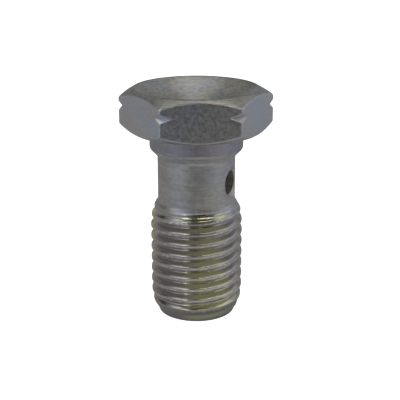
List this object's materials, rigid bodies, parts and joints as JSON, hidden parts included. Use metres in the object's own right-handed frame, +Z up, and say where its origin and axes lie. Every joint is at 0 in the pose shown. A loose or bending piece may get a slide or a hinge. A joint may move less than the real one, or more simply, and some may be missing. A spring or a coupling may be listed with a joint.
{
  "type": "banjo bolt",
  "caption": "Hollow fluid-line bolt with a dished hexagon head, a collar, a cross-drilled shank and a rolled metric fine thread.",
  "frame": {"origin": "middle of the flat end face, on the bolt's axis", "axes": "+Z up the axis from the threaded end to the head; -Y square to one flat of the head"},
  "size_m": [0.0196, 0.017, 0.0299],
  "materials": {
    "zinc_plated_steel": "bright zinc plated, satin"
  },
  "bodies": {
    "root": {"bolt": "zinc_plated_steel"}
  },
  "joints": []
}
